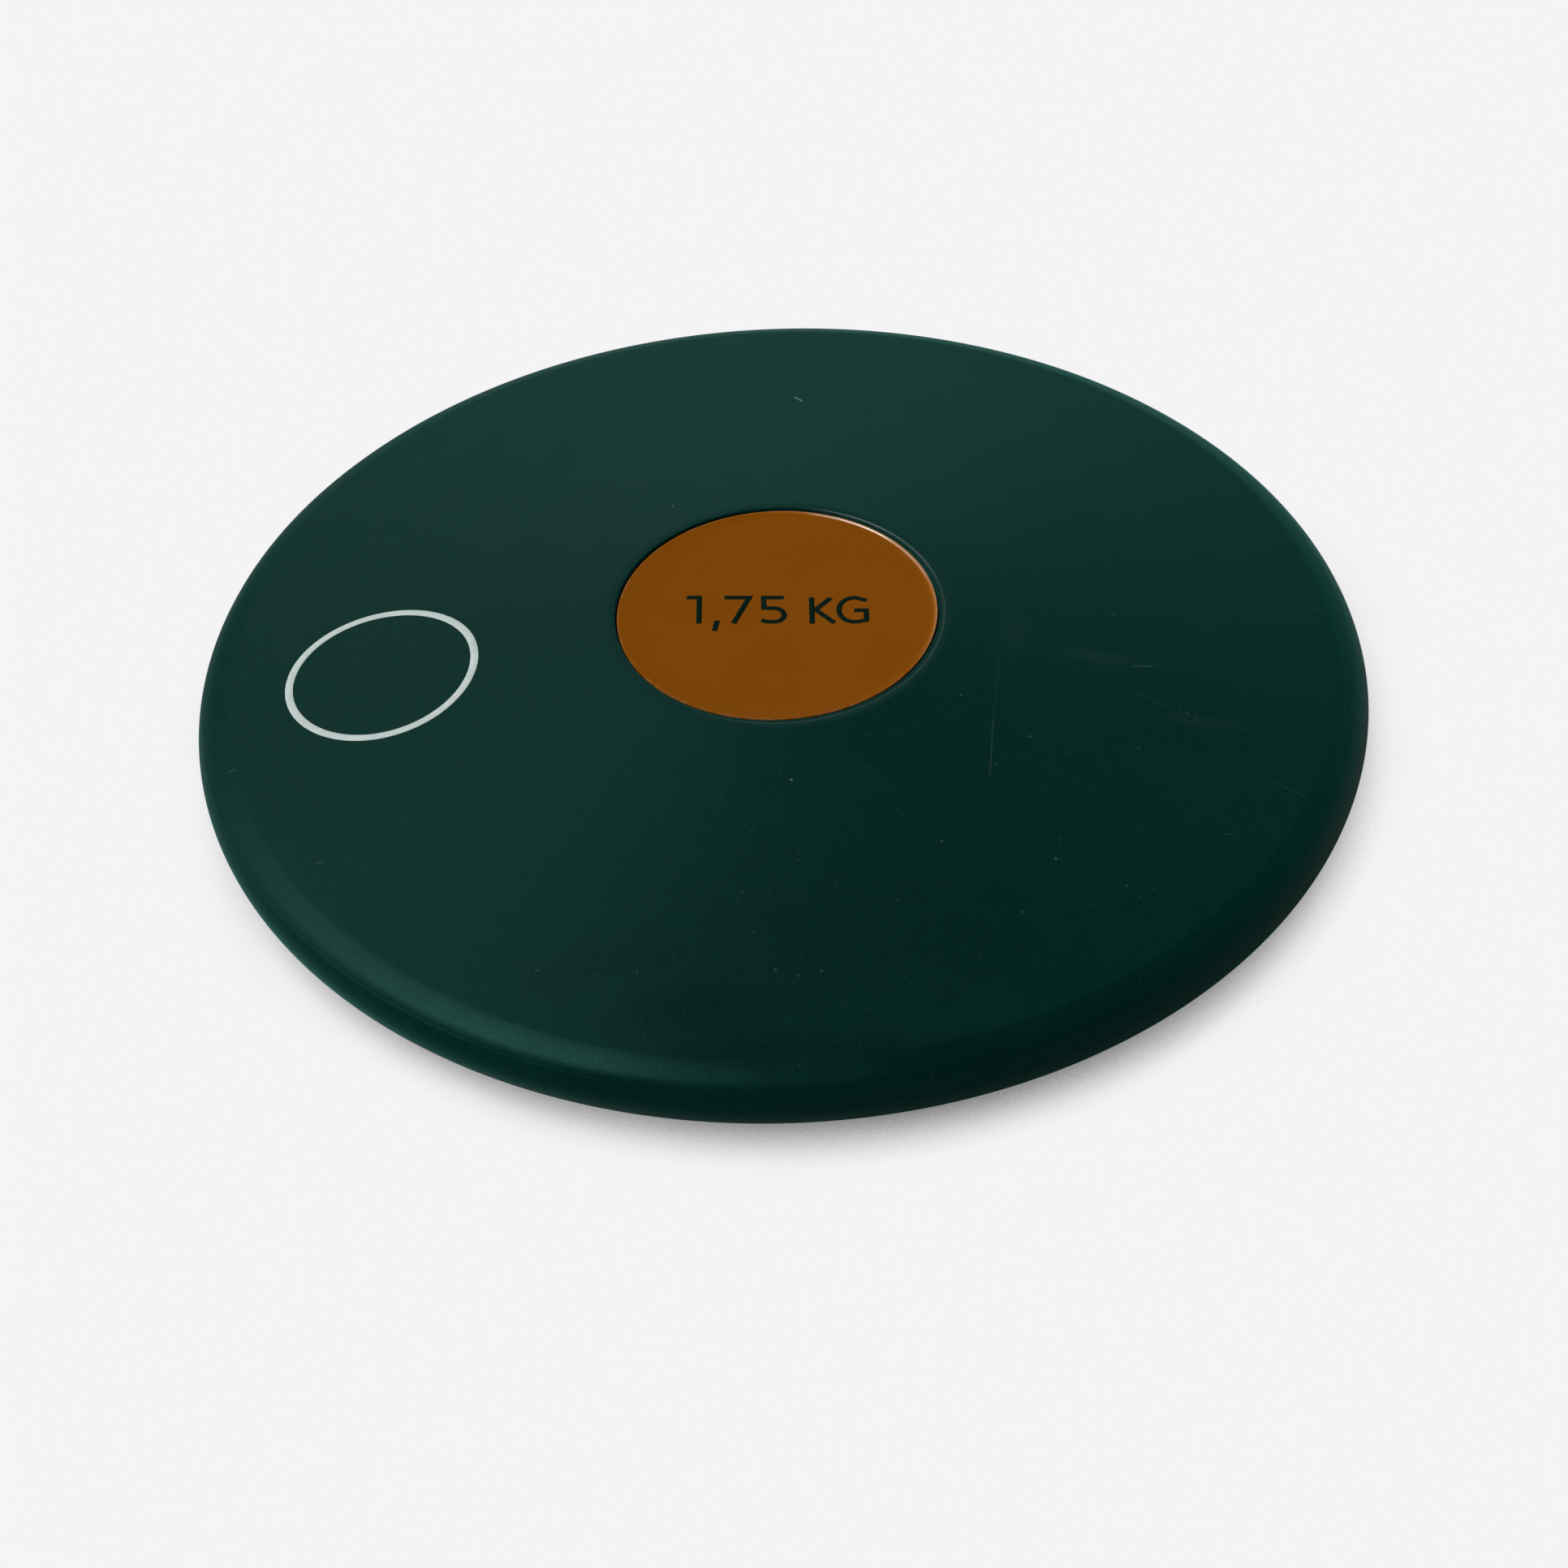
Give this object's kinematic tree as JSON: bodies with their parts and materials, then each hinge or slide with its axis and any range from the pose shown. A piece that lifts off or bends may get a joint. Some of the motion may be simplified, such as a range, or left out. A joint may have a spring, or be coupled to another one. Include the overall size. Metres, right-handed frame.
{
  "type": "throwing discus",
  "caption": "Rubber training discus with a rounded rim, sloping faces and a round inlay set in the middle of each face.",
  "frame": {"origin": "centre of the ring-shaped face that the discus rests on", "axes": "+Z along the axis of the discus, from the resting face to the other face; the weight mark reads with +X to its right"},
  "size_m": [0.211, 0.211, 0.042],
  "materials": {
    "green_rubber": "satin",
    "orange_inlay": "satin",
    "turned_steel": "satin"
  },
  "bodies": {
    "root": {"rubber_body": "green_rubber", "steel_core": "turned_steel", "upper_inlay": "orange_inlay", "lower_inlay": "orange_inlay"}
  },
  "joints": []
}
